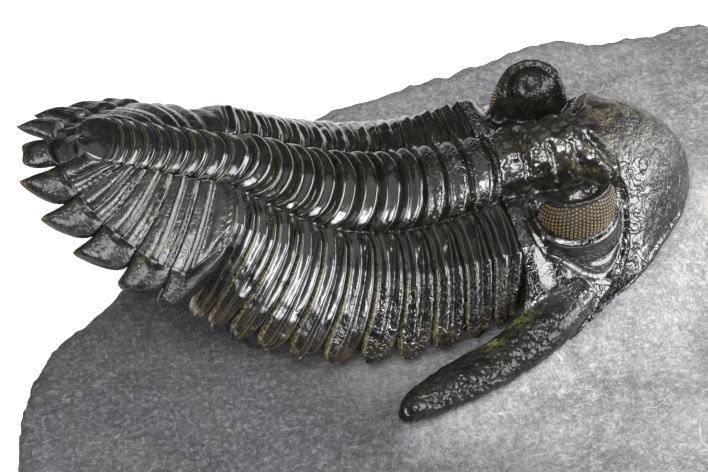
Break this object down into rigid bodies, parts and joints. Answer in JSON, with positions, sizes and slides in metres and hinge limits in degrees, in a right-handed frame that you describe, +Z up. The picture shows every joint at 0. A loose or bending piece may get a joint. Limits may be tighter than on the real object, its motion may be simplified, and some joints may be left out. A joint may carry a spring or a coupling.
{
  "type": "trilobite fossil",
  "caption": "Prepared trilobite fossil on rock: domed head with raised eyes and a cheek spine, ringed body, spiny fan tail held clear of a flat-bottomed limestone slab.",
  "frame": {"origin": "on the slab's flat underside, near its middle", "axes": "+X along the slab's length towards the trilobite's head, +Y to the animal's left, +Z up out of the underside"},
  "size_m": [0.0867, 0.0647, 0.0429],
  "materials": {
    "limestone": "matt, finely abraded grey limestone",
    "head_shell": "glossy black calcite shell, wrinkled",
    "thorax_shell": "glossy black calcite shell",
    "tail_shell": "satin black calcite shell, finely pitted"
  },
  "bodies": {
    "root": {"rock_matrix": "limestone", "cephalon": "head_shell", "thorax_segment_01": "thorax_shell", "thorax_segment_02": "thorax_shell", "thorax_segment_03": "thorax_shell", "thorax_segment_04": "thorax_shell", "thorax_segment_05": "thorax_shell", "thorax_segment_06": "thorax_shell", "thorax_segment_07": "thorax_shell", "thorax_segment_08": "thorax_shell", "thorax_segment_09": "thorax_shell", "thorax_segment_10": "thorax_shell", "thorax_segment_11": "thorax_shell", "pygidium": "tail_shell"}
  },
  "joints": []
}
